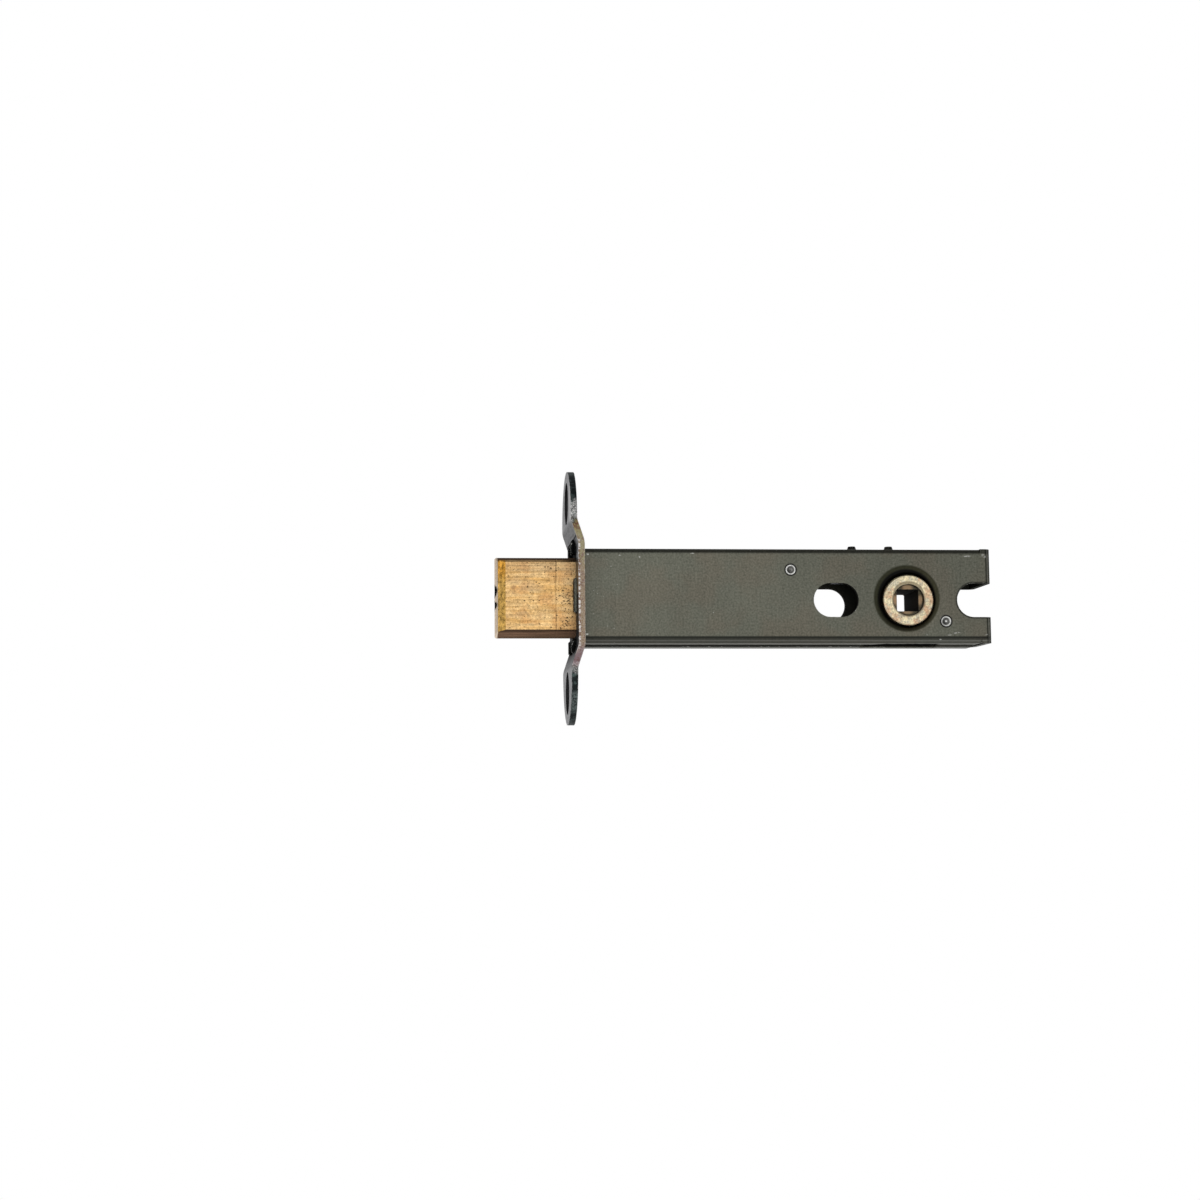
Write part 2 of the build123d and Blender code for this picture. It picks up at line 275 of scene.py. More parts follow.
def aimCamera(view):
    yaw, pitch, roll = (radians(view[turn]) for turn in ("yaw", "pitch", "roll"))
    ahead = Vector((sin(yaw) * cos(pitch), cos(yaw) * cos(pitch), sin(pitch)))
    level = Vector((cos(yaw), -sin(yaw), 0))
    upright = level.cross(ahead)
    right = cos(roll) * level + sin(roll) * upright
    up = right.cross(ahead)
    lens = bpy.data.cameras.new("photoCamera")
    lens.sensor_width = view["sensorWidth"]
    lens.lens = view["sensorWidth"] * view["focalPixels"] / view["imagePixels"]
    lens.shift_x = 0.5 - view["axisPixel"][0] / view["imagePixels"]
    lens.shift_y = view["axisPixel"][1] / view["imagePixels"] - 0.5
    lens.clip_start = view["clipStart"]
    camera = bpy.data.objects.new("photoCamera", lens)
    bpy.context.scene.collection.objects.link(camera)
    turned = Matrix((right, up, -ahead)).transposed().to_4x4()
    camera.matrix_world = Matrix.Translation(view["place"]) @ turned
    bpy.context.scene.camera = camera
    print("camera: lens", round(lens.lens, 2), "mm")


aimCamera(photoView)

# Studio: white behind the lock, a dimmer room in front, a pale floor well below, and soft lamps
studio = {
    "ambient": 0.28,
    "whiteRange": (0.70, 0.92),
    "floorHeight": -0.2,
    "floorSize": 30.0,
    "floorColour": (0.80, 0.80, 0.80, 1),
    "floorRoughness": 0.9,
    "floorReach": (0.08, 0.22),
    "shadowShare": 0.35,
    "lamps": [
        {"name": "keyLamp", "place": (-0.25, -0.90, 0.15), "size": 1.5, "power": 7.8},
        {"name": "sideLamp", "place": (-0.85, -0.10, 0.10), "size": 0.7, "power": 0.95},
        {"name": "rearLamp", "place": (0.95, 0.25, 0.30), "size": 0.7, "power": 0.75},
        {"name": "topLamp", "place": (0.05, 0.30, 0.95), "size": 0.6, "power": 0.45},
    ],
}


def rayKind(paint, kind):
    return paint.node("LightPath", None, None, out="Is %s Ray" % kind)


def paintRoom(values):
    world = bpy.data.worlds.new("studioRoom")
    bpy.context.scene.world = world
    world.use_nodes = True
    world.node_tree.nodes.clear()
    room = Paint(world.node_tree)
    toward = room.node("TexCoord", None, None, out="Generated")
    depth = room.node("SeparateXYZ", None, {0: toward}, out=1)
    behind = room.ramp(depth, *values["whiteRange"])
    mirrored = rayKind(room, "Glossy") + rayKind(room, "Transmission")
    share = (rayKind(room, "Camera") + mirrored * behind).atMost(1)
    dim = room.node("Background", None, {"Color": plainWhite, "Strength": values["ambient"]})
    full = room.node("Background", None, {"Color": plainWhite, "Strength": 1.0})
    both = room.node("MixShader", None, {0: share, 1: dim, 2: full})
    output = world.node_tree.nodes.new("ShaderNodeOutputWorld")
    room.link(both, output, "Surface")


def hangLamp(name, place, size, power):
    light = bpy.data.lights.new(name, "AREA")
    light.shape = "SQUARE"
    light.size = size
    light.energy = power
    holder = bpy.data.objects.new(name, light)
    bpy.context.scene.collection.objects.link(holder)
    holder.location = place
    aim = (cadBox[0] + cadBox[1]) / 2 - Vector(place)
    holder.rotation_mode = "QUATERNION"
    holder.rotation_quaternion = aim.to_track_quat("-Z", "Y")
    holder.visible_camera = False


def layFloor(values):
    bpy.ops.object.select_all(action="DESELECT")
    centre = (0, 0, values["floorHeight"])
    bpy.ops.mesh.primitive_plane_add(size=values["floorSize"], location=centre)
    floor = bpy.context.object
    floor.name = "studioFloor"
    paint = newFinish("paleFloor", Base_Color=values["floorColour"],
                      Roughness=values["floorRoughness"], Specular_IOR_Level=0.0)
    length = {"operation": "LENGTH"}
    spread = paint.node("VectorMath", length, {0: paint.place}, out="Value") / mmPerMetre
    far = paint.ramp(spread, *values["floorReach"])
    bright = values["shadowShare"] + (1 - values["shadowShare"]) * far
    mirrored = rayKind(paint, "Glossy") + rayKind(paint, "Transmission")
    seen = (rayKind(paint, "Camera") + mirrored).atMost(1)
    glow = paint.node("Emission", None, {"Color": plainWhite, "Strength": 1.0})
    cover(paint, bright * seen, glow)
    floor.data.materials.append(paint.material)


paintRoom(studio)
for lamp in studio["lamps"]:
    hangLamp(**lamp)
layFloor(studio)
print("studio:", len(studio["lamps"]), "lamps, floor at", studio["floorHeight"], "m")

# Case: folded sheet under a satin olive-black oxide, rubbed bright on its edges
caseLook = {
    "oxide": (0.116, 0.118, 0.093, 1),
    "warm": (0.122, 0.115, 0.089, 1),
    # painted shade for the bends, the underside, the inside and the rear fold
    "dark": (0.016, 0.017, 0.014, 1),
    # near black: real on the seam and the clenched tabs, painted shade at the slot, cuts, collars,
    # pins and side tab
    "soot": (0.006, 0.006, 0.006, 1),
    # painted shade in the dished collars
    "oil": (0.012, 0.012, 0.003, 1),
    "bare": (0.50, 0.50, 0.47, 1),
    "glance": (0.64, 0.64, 0.62, 1),
    "roughness": 0.42,
    "roughSwing": 0.16,
    "rougher": {"bare": -0.08, "burnt": 0.2, "cut": 0.4},
    "metal": 0.8,
    "bump": 0.02,
    "relief": {"grain": 0.6, "upright": 0.25, "chips": 0.5, "lumps": 22},
    # noises and specks
    "cloud": {"scale": 0.07, "detail": 4},
    "grain": {"scale": 2.2, "detail": 5},
    "upright": {"scale": 1.4, "detail": 4, "stretch": (1.6, 1, 0.10)},
    "mottle": (0.35, 1.5, 0.3),
    "drift": {"scale": 0.10, "detail": 3, "shift": (2, 8, 5)},
    "driftRange": (0.42, 0.62),
    "chips": {"spacing": 2.4, "size": 0.34, "share": 0.12},
    "scratch": {"spacing": 4.5, "size": 0.55, "share": 0.16, "stretch": (0.22, 1, 2.4)},
    "frost": {"spacing": 0.8, "size": 0.24},
    "frostShare": 0.30,
    "frostEnd": (4.0, 16.0),
    # painted shade round the bends of the sheet, on the underside and inside, and a painted highlight
    # line low on the sides
    "halfDepth": 6.8,
    "halfHeight": 11.1,
    "bend": 1.4,
    "bendDark": (0.10, 0.55),
    "sideReach": (-0.2, 0.4),
    "lowBend": -9.85,
    "lowLine": (0.14, 0.48),
    "paleBend": -10.57,
    "paleLine": (0.08, 0.30),
    "underside": (-10.75, -10.35),
    "insideTall": 4.3,
    "insideReach": (5.5, 6.55),
    "bends": {"under": 0.55, "bend": 0.75, "low": 0.95, "inside": 0.85},
    # seam below, and painted shade beside the finger slot
    "seam": -0.1,
    "seamLine": (0.25, 0.6),
    "seamRear": (88.0, 89.0),
    "seamShare": 0.75,
    "seamDrop": 0.5,
    "ragged": {"scale": 0.6, "detail": 4, "shift": (9, 3, 1)},
    "raggedReach": 3.0,
    "stainStart": (70.0, 71.6),
    "stainStop": (87.2, 88.8),
    "stainNear": (-5.0, -3.7),
    "stainFar": (2.2, 2.5),
    "stainLow": (-11.35, -11.2),
    "stainSlant": (69.6, 71.4),
    "stainShare": 0.95,
    # painted shade on the cut edges of the fixing slot and the rear notch
    "cutFacing": 0.5,
    "cutTall": 9.0,
    "cutFrom": 20.0,
    "notch": (95.6, -1.0),
    "notchLip": (4.25, 4.5),
    "cuts": {"cut": 0.95, "lip": 0.7},
    # painted shade and a painted highlight along the fold at the rear
    "rear": 99.9,
    "foldEdge": (0.45, 0.62),
    "foldGroove": 1.15,
    "grooveLine": (0.10, 0.26),
    "folds": {"edge": 0.95, "groove": 0.76},
    "crease": 0.85,
    "creaseLine": (0.05, 0.20),
    # painted shade in the dished collars and in the gaps round the pins
    "dish": (79.6, -0.62),
    "pool": (6.65, 7.2),
    "band": (7.6, 8.15),
    "bandShare": 0.82,
    "pins": [(52.1, 6.1), (88.85, -6.0)],
    "pinGap": (1.36, 1.66),
    "oils": {"pool": 0.96, "gap": 0.85},
    # clenched tabs, with painted shade round the side tab
    "tabs": (1.9, 2.6),
    "burntFrom": (6.0, 8.0),
    "brimFront": (1.16, 1.30),
    "brimEnds": (3.75, 3.95),
    "crust": {"scale": 1.5, "detail": 4, "shift": (8, 1, 6)},
    "crustLift": 0.3,
    "crustSwing": 2.2,
    "tabShares": {"burnt": 1.0, "tab": 0.10, "brim": 0.95},
    "glints": {"scale": 2.2, "detail": 3, "stretch": (1, 1, 0.6), "shift": (3, 3, 3)},
    "glintRange": (0.60, 0.68),
    "lumps": {"scale": 0.9, "detail": 4, "shift": (5, 2, 9)},
    # wear, and painted glints on the black tabs
    "edgeWidth": 0.35,
    "rub": {"scale": 0.9, "detail": 5},
    "rubRange": (0.55, 0.68),
    "breaks": {"scale": 2.6, "detail": 4, "shift": (4, 4, 1)},
    "breakRange": (0.36, 0.52),
    "outerFace": (0.9, 1.2),
    "wear": {"rubbed": 0.85, "chips": 0.55, "frost": 0.5, "scratch": 0.30, "glints": 0.8},
    "oiledWear": 0.8,
    "lines": {"bare": 1.0, "worn": 0.7, "pale": 0.16, "crease": 0.2},
    "nicks": [
        {"x": 4.4, "z": 9.65, "length": 0.7, "width": 0.6},
        {"x": 4.1, "z": -9.1, "length": 0.8, "width": 0.5},
        {"x": 11.9, "z": 9.4, "length": 0.6, "width": 0.35},
        {"x": 16.5, "z": 9.0, "length": 0.45, "width": 0.45, "tilt": 50},
        {"x": 28.9, "z": 9.9, "length": 1.1, "width": 0.3},
        {"x": 94.2, "z": 9.4, "length": 2.2, "width": 0.4, "tilt": 3},
        {"x": 98.3, "z": 9.5, "length": 1.5, "width": 0.9, "tilt": -30},
        {"x": 84.2, "z": -9.2, "length": 0.4, "width": 0.4},
        {"x": 89.6, "z": -9.25, "length": 1.1, "width": 0.28, "tilt": 5},
        {"x": 91.2, "z": -8.75, "length": 2.4, "width": 0.28, "tilt": 9},
        {"x": 98.4, "z": -9.2, "length": 0.9, "width": 0.35, "tilt": 25},
        {"x": 87.4, "z": -10.3, "length": 0.7, "width": 0.35},
    ],
}


def slotStain(paint, look):
    # painted shade beside the finger slot, ragged except along its far side; it has no upper end, so
    # the top wall shows it too
    ragged = paint.noise(**look["ragged"]).swing(look["raggedReach"])
    along = paint.x + ragged
    stain = paint.span(along, look["stainStart"], look["stainStop"])
    stain = stain * paint.ramp(paint.y + ragged, *look["stainNear"])
    stain = stain * paint.fade(paint.y, *look["stainFar"]) * paint.ramp(paint.z, *look["stainLow"])
    return stain * paint.ramp(along + paint.y, *look["stainSlant"])


def shadeBends(paint, look, colour, aside):
    # painted shade darkens the oxide round the bends, below and inside the case; the pale line is a
    # painted highlight
    above = abs(paint.z) - (look["halfHeight"] - look["bend"])
    side = paint.ramp(aside, *look["sideReach"])
    bend = paint.ramp(aside.atMost(above), *look["bendDark"])
    low = paint.line(paint.z, look["lowBend"], look["lowLine"]) * side
    pale = paint.line(paint.z, look["paleBend"], look["paleLine"]) * side
    under = paint.fade(paint.z, *look["underside"])
    deep = abs(paint.y).atLeast(abs(paint.z) - look["insideTall"])
    inside = paint.fade(deep, *look["insideReach"])
    colour = paint.mix(look["bends"]["under"] * under, colour, look["dark"])
    # a black film of painted shade beside the finger slot
    stain = slotStain(paint, look)
    film(paint, look["stainShare"] * stain, look["soot"])
    seam = paint.line(paint.y, look["seam"], look["seamLine"])
    seam = seam * (look["seamShare"] - look["seamDrop"] * paint.ramp(paint.x, *look["seamRear"]))
    colour = paint.mix(under * seam * (1 - stain), colour, look["soot"])
    shaded = layered(look["bends"], bend=bend * (1 - under), low=low, inside=inside)
    return paint.mix(shaded, colour, look["dark"]), low, pale, inside


def blackenCuts(paint, look, colour):
    # painted shade on the cut edges of the fixing slot and on the lip of the notch
    normal = paint.node("NewGeometry", None, None, out="True Normal")
    facing = paint.node("SeparateXYZ", None, {0: normal}, out=1)
    cut = (abs(facing) < look["cutFacing"]) * (abs(paint.z) < look["cutTall"])
    cut = cut * (paint.x > look["cutFrom"])
    back = (look["notch"][0] - paint.x).atLeast(0)
    lip = paint.fade(back.hypot(paint.z - look["notch"][1]), *look["notchLip"])
    return paint.mix(layered(look["cuts"], cut=cut, lip=lip), colour, look["soot"]), cut


def lineFold(paint, look, colour):
    # the fold at the rear: painted shade on its edge, a painted highlight line, then a line of painted
    # shade
    short = look["rear"] - paint.x
    edge = paint.fade(short, *look["foldEdge"])
    crease = paint.line(short, look["crease"], look["creaseLine"])
    groove = paint.line(short, look["foldGroove"], look["grooveLine"])
    return paint.mix(layered(look["folds"], edge=edge, groove=groove), colour, look["dark"]), crease


def oilCollars(paint, look, colour):
    # painted shade in the dished collars round the follower and in the gap round each pin
    ring = paint.around(*look["dish"])
    band = look["bandShare"] * paint.fade(ring, *look["band"])
    pool = paint.fade(ring, *look["pool"])
    front, rear = (paint.around(*pin) for pin in look["pins"])
    gap = paint.fade(front.atMost(rear), *look["pinGap"])
    colour = paint.mix(band, colour, look["oil"])
    colour = paint.mix(layered(look["oils"], pool=pool, gap=gap), colour, look["soot"])
    return colour, pool.atLeast(band)


def burnTabs(paint, look, colour):
    # the clenched tabs are crusted and burnt black; the black brim round the side tab is painted shade
    tab = paint.fade(paint.x, *look["tabs"])
    burnt = tab * paint.ramp(abs(paint.z), *look["burntFrom"])
    brim = paint.fade(paint.x, *look["brimFront"])
    brim = brim.atLeast(paint.ramp(abs(paint.z), *look["brimEnds"]))
    crust = look["crustLift"] + paint.noise(**look["crust"]).swing(look["crustSwing"])
    colour = paint.tone(colour, 1 + tab * crust)
    black = layered(look["tabShares"], burnt=burnt, tab=tab, brim=brim * tab)
    return paint.mix(black, colour, look["soot"]), burnt


def caseWear(paint, look, burnt, aside):
    # bright steel where edges have been rubbed, with chips, nicks and short scratches; glints on the
    # tabs are painted highlights
    rubbed = paint.edges(look["edgeWidth"]) * paint.patches(look["rub"], look["rubRange"])
    chips = paint.specks(**look["chips"])
    near = look["frostShare"] * paint.fade(paint.x, *look["frostEnd"])
    bare = layered(
        look["wear"],
        rubbed=rubbed * (1 - burnt),
        chips=chips,
        frost=paint.specks(share=near, **look["frost"]),
        scratch=paint.specks(**look["scratch"]),
        glints=paint.patches(look["glints"], look["glintRange"]) * burnt,
    )
    worn = most(*(paint.nick(**mark) for mark in look["nicks"]))
    worn = worn * paint.patches(look["breaks"], look["breakRange"])
    return bare, chips, worn * paint.ramp(aside, *look["outerFace"])


def blackenCase(look):
    paint = newFinish("caseOxide", Specular_IOR_Level=0.4, Specular_Tint=look["glance"])
    cloud = paint.noise(**look["cloud"])
    grain = paint.noise(**look["grain"])
    upright = paint.noise(**look["upright"])
    drift = paint.patches(look["drift"], look["driftRange"])
    colour = paint.mix(drift, look["oxide"], look["warm"])
    colour = paint.tone(colour, mottled(look["mottle"], cloud, grain, upright))
    aside = abs(paint.y) - (look["halfDepth"] - look["bend"])
    colour, low, pale, inside = shadeBends(paint, look, colour, aside)
    colour, cut = blackenCuts(paint, look, colour)
    colour, crease = lineFold(paint, look, colour)
    colour, oiled = oilCollars(paint, look, colour)
    colour, burnt = burnTabs(paint, look, colour)
    bare, chips, worn = caseWear(paint, look, burnt, aside)
    bare = bare * (1 - inside) * (1 - look["oiledWear"] * oiled) * (1 - low)
    # the pale line low on the sides and the line along the rear fold are painted highlights
    bare = layered(look["lines"], bare=bare, worn=worn, pale=pale, crease=crease)
    colour = paint.mix(bare, colour, look["bare"])
    rougher = look["rougher"]
    roughness = look["roughness"] + grain.swing(look["roughSwing"])
    roughness = roughness + rougher["bare"] * bare + rougher["burnt"] * burnt + rougher["cut"] * cut
    relief = look["relief"]
    height = relief["grain"] * grain + relief["upright"] * upright - relief["chips"] * chips
    height = height + relief["lumps"] * (paint.noise(**look["lumps"]) * burnt)
    metallic = look["metal"] + (1 - look["metal"]) * most(bare, oiled, burnt, cut)
    dress(paint, ["case"], Base_Color=colour, Roughness=roughness, Metallic=metallic,
          Normal=paint.bump(height, look["bump"]))


blackenCase(caseLook)

# Forend plate: dull plated steel, its sheared edge torn and stained
plateLook = {
    "plated": (0.184, 0.184, 0.187, 1),
    "glance": (0.83, 0.83, 0.84, 1),
    "shade": (0.020, 0.020, 0.021, 1),
    "shear": (0.014, 0.019, 0.019, 1),
    "teal": (0.055, 0.078, 0.074, 1),
    "glitter": (0.26, 0.31, 0.30, 1),
    "torn": (0.80, 0.79, 0.77, 1),
    "olive": (0.25, 0.215, 0.105, 1),
    "tan": (0.25, 0.175, 0.105, 1),
    "rose": (0.20, 0.135, 0.145, 1),
    "rust": (0.14, 0.065, 0.042, 1),
    "roughness": 0.40,
    "roughSwing": 0.2,
    "shearRough": 0.12,
    "metal": 0.92,
    "bump": 0.05,
    "grainRelief": 0.35,
    # noises
    "cloud": {"scale": 0.35, "detail": 4},
    "grain": {"scale": 3.0, "detail": 4},
    "fine": {"scale": 6.0, "detail": 4},
    "streak": {"scale": 1.6, "detail": 4, "stretch": (1, 0.2, 1.4), "shift": (2, 8, 3)},
    "mottle": (1.2, 2.6, 2.2),
    # painted shade on and below the drawn steps, black round the tabs, and scuffs, by height
    "step": (16.3, 17.7),
    "stepDull": 0.7,
    "foot": 13.2,
    "footLine": (0.10, 0.40),
    "sootFrom": (7.0, 9.0),
    "sootTo": (11.2, 12.4),
    "sootSway": 1.6,
    "sootWide": (6.8, 9.0),
    "grimeFrom": (-17.5, -12.5),
    "grimeSway": 3,
    "scuffRange": (0.48, 0.66),
    "scuffStep": 0.32,
    "scuffBase": 0.05,
    "dirt": {"soot": 0.9, "foot": 0.8, "grimy": 0.75, "scuffed": 1.0},
    # sheared outline
    "earCentre": 17.5,
    "outline": (12.38, 12.47),
    "wander": {"scale": 0.7, "detail": 4},
    "wanderReach": 5,
    "oliveFrom": (4.0, 9.0),
    "roseTo": (-14.0, -11.5),
    "rustSpots": {"scale": 1.6, "detail": 5, "shift": (1, 4, 2)},
    "rustRange": (0.52, 0.62),
    "rustShare": 0.75,
    "rustPatch": ((14.4, 15.6), (16.6, 17.6)),
    "patchGrain": (0.42, 0.56),
    "tealNoise": {"scale": 0.9, "detail": 4, "shift": (6, 2, 8)},
    "tealRange": (0.50, 0.64),
    "blueTone": (0.3, 1.4),
    "glitterLow": ((-28.0, -26.5), (-23.5, -22.0)),
    "glitterTop": (27.5, 29.0),
    "glitterTopShare": 0.6,
    "glitterFine": (0.46, 0.56),
    "glitterShare": 0.7,
    "stainMiddle": -0.2,
    "stainReach": (16.0, 17.6),
    # bright torn metal
    "tornHigh": ((16.8, 17.6), (20.6, 22.0)),
    "tornLow": ((-19.0, -18.0), (-16.2, -15.2)),
    "tornMiddle": (12.0, 16.0),
    "bands": {"high": 1.0, "low": 0.6, "middle": 0.30},
    "tornFine": (0.49, 0.55),
    "tornShare": 0.85,
    "lipFront": (1.95, 2.3),
    "lipTall": (11.0, 14.0),
    "lipRust": 0.6,
    "lipTorn": 0.8,
    "teeth": {"scale": 1.9, "detail": 2, "stretch": (0.6, 0.6, 1), "shift": (1, 1, 5)},
    "teethRange": (0.45, 0.56),
    "teethGrain": (0.36, 0.50),
    # rubbed edges and the rubbed strip on the upper ear
    "edgeWidth": 0.3,
    "rub": {"scale": 1.2, "detail": 4, "shift": (3, 5, 7)},
    "rubRange": (0.40, 0.58),
    "stripNear": (6.5, 9.5),
    "stripFront": (0.3, 0.6),
    "stripTall": ((16.0, 18.0), (25.0, 27.5)),
    "stripFine": (0.34, 0.60),
    "rubs": {"edges": 0.5, "strip": 0.75},
    # painted shade on the walls of the screw holes
    "hole": 22.5,
    "holeWall": (4.98, 5.06),
    "holeTone": 0.9,
    "holeFilm": 0.8,
}


def plateDirt(paint, look, waves, step):
    # black round the clenched tabs, a line of painted shade across the foot of the upper step, a
    # painted shadow over the lower step, and scuffs
    height, cloud = abs(paint.z), waves["cloud"]
    soot = paint.ramp(height, *look["sootFrom"])
    soot = soot * paint.fade(height + cloud.swing(look["sootSway"]), *look["sootTo"])
    soot = soot * paint.fade(abs(paint.y), *look["sootWide"])
    foot = paint.line(height, look["foot"], look["footLine"]) * (paint.z > 0)
    grimy = paint.ramp(paint.z + cloud.swing(look["grimeSway"]), *look["grimeFrom"]) * (paint.z < 0)
    scuffed = look["scuffStep"] * step + look["scuffBase"]
    scuffed = scuffed * paint.ramp(waves["streak"], *look["scuffRange"])
    return layered(look["dirt"], soot=soot, foot=foot, grimy=grimy, scuffed=scuffed)


def stainEdge(paint, look, waves, level):
    # tan along the middle, olive above it, rose below it, and blue-black on the ears with painted
    # glints
    grain, fine = waves["grain"], waves["fine"]
    stain = paint.mix(paint.ramp(level, *look["oliveFrom"]), look["tan"], look["olive"])
    stain = paint.mix(paint.fade(level, *look["roseTo"]), stain, look["rose"])
    spots = look["rustShare"] * paint.patches(look["rustSpots"], look["rustRange"])
    patch = paint.span(level, *look["rustPatch"]) * paint.ramp(grain, *look["patchGrain"])
    stain = paint.mix(spots.atLeast(patch), stain, look["rust"])
    blue = paint.mix(paint.patches(look["tealNoise"], look["tealRange"]), look["shear"], look["teal"])
    blue = paint.tone(blue, look["blueTone"][0] + look["blueTone"][1] * grain)
    # painted glints low on the lower ear and at the top of the upper ear
    glitter = paint.span(paint.z, *look["glitterLow"])
    glitter = glitter.atLeast(look["glitterTopShare"] * paint.ramp(paint.z, *look["glitterTop"]))
    glitter = look["glitterShare"] * glitter * paint.ramp(fine, *look["glitterFine"])
    blue = paint.mix(glitter, blue, look["glitter"])
    return paint.mix(paint.line(level, look["stainMiddle"], look["stainReach"]), blue, stain)


def tearEdge(paint, look, waves, level, edge):
    # bright torn metal: a band above and below the middle, and the front lip between them
    height, grain, fine = abs(paint.z), waves["grain"], waves["fine"]
    band = layered(
        look["bands"],
        high=paint.span(level, *look["tornHigh"]),
        low=paint.span(level, *look["tornLow"]),
        middle=paint.fade(height, *look["tornMiddle"]),
    )
    torn = band * paint.ramp(fine, *look["tornFine"])
    edge = paint.mix(look["tornShare"] * torn, edge, look["torn"])
    lip = paint.fade(paint.x, *look["lipFront"]) * paint.fade(height, *look["lipTall"])
    edge = paint.mix(look["lipRust"] * lip, edge, look["rust"])
    teeth = paint.patches(look["teeth"], look["teethRange"]) * paint.ramp(grain, *look["teethGrain"])
    return paint.mix(look["lipTorn"] * lip * teeth, edge, look["torn"]), torn


def plateRubs(paint, look, waves, shear):
    # worn edges, and a bright strip on the near side of the upper ear
    rubbed = paint.edges(look["edgeWidth"]) * paint.patches(look["rub"], look["rubRange"])
    strip = paint.ramp(0 - paint.y, *look["stripNear"]) * (1 - shear)
    strip = strip * paint.fade(paint.x, *look["stripFront"]) * paint.span(paint.z, *look["stripTall"])
    strip = strip * paint.ramp(waves["fine"], *look["stripFine"])
    return layered(look["rubs"], edges=rubbed, strip=strip)


def plateForend(look):
    paint = newFinish("forendSteel", Specular_IOR_Level=0.5, Specular_Tint=look["glance"])
    waves = paint.waves(look, "cloud", "grain", "streak", "fine")
    cloud, grain = waves["cloud"], waves["grain"]
    height = abs(paint.z)
    # painted shade: the drawn steps are darker than the ears
    step = paint.fade(height, *look["step"])
    amount = mottled(look["mottle"], cloud, grain, waves["streak"]) * (1 - look["stepDull"] * step)
    colour = paint.tone(look["plated"], amount)
    beyond = (height - look["earCentre"]).atLeast(0)
    shear = paint.ramp(paint.y.hypot(beyond), *look["outline"])
    level = paint.z + paint.noise(**look["wander"]).swing(look["wanderReach"])
    edge, torn = tearEdge(paint, look, waves, level, stainEdge(paint, look, waves, level))
    colour = paint.mix(shear, colour, edge)
    colour = paint.mix(plateRubs(paint, look, waves, shear), colour, look["torn"])
    # painted shade on the walls of the screw holes
    bore = paint.fade(paint.y.hypot(height - look["hole"]), *look["holeWall"])
    colour = paint.mix(bore, colour, paint.tone(look["shade"], look["holeTone"] * cloud))
    # a dark film: black round the tabs, painted shade on the steps and in the screw holes, and scuffs
    dirt = plateDirt(paint, look, waves, step).atLeast(look["holeFilm"] * bore)
    film(paint, dirt * (1 - shear), look["shade"])
    roughness = look["roughness"] + grain.swing(look["roughSwing"]) + look["shearRough"] * shear
    metallic = look["metal"] + (1 - look["metal"]) * torn
    tooth = look["grainRelief"] * grain + shear * waves["fine"]
    dress(paint, ["forend_plate"], Base_Color=colour, Roughness=roughness, Metallic=metallic,
          Normal=paint.bump(tooth, look["bump"]))


plateForend(plateLook)

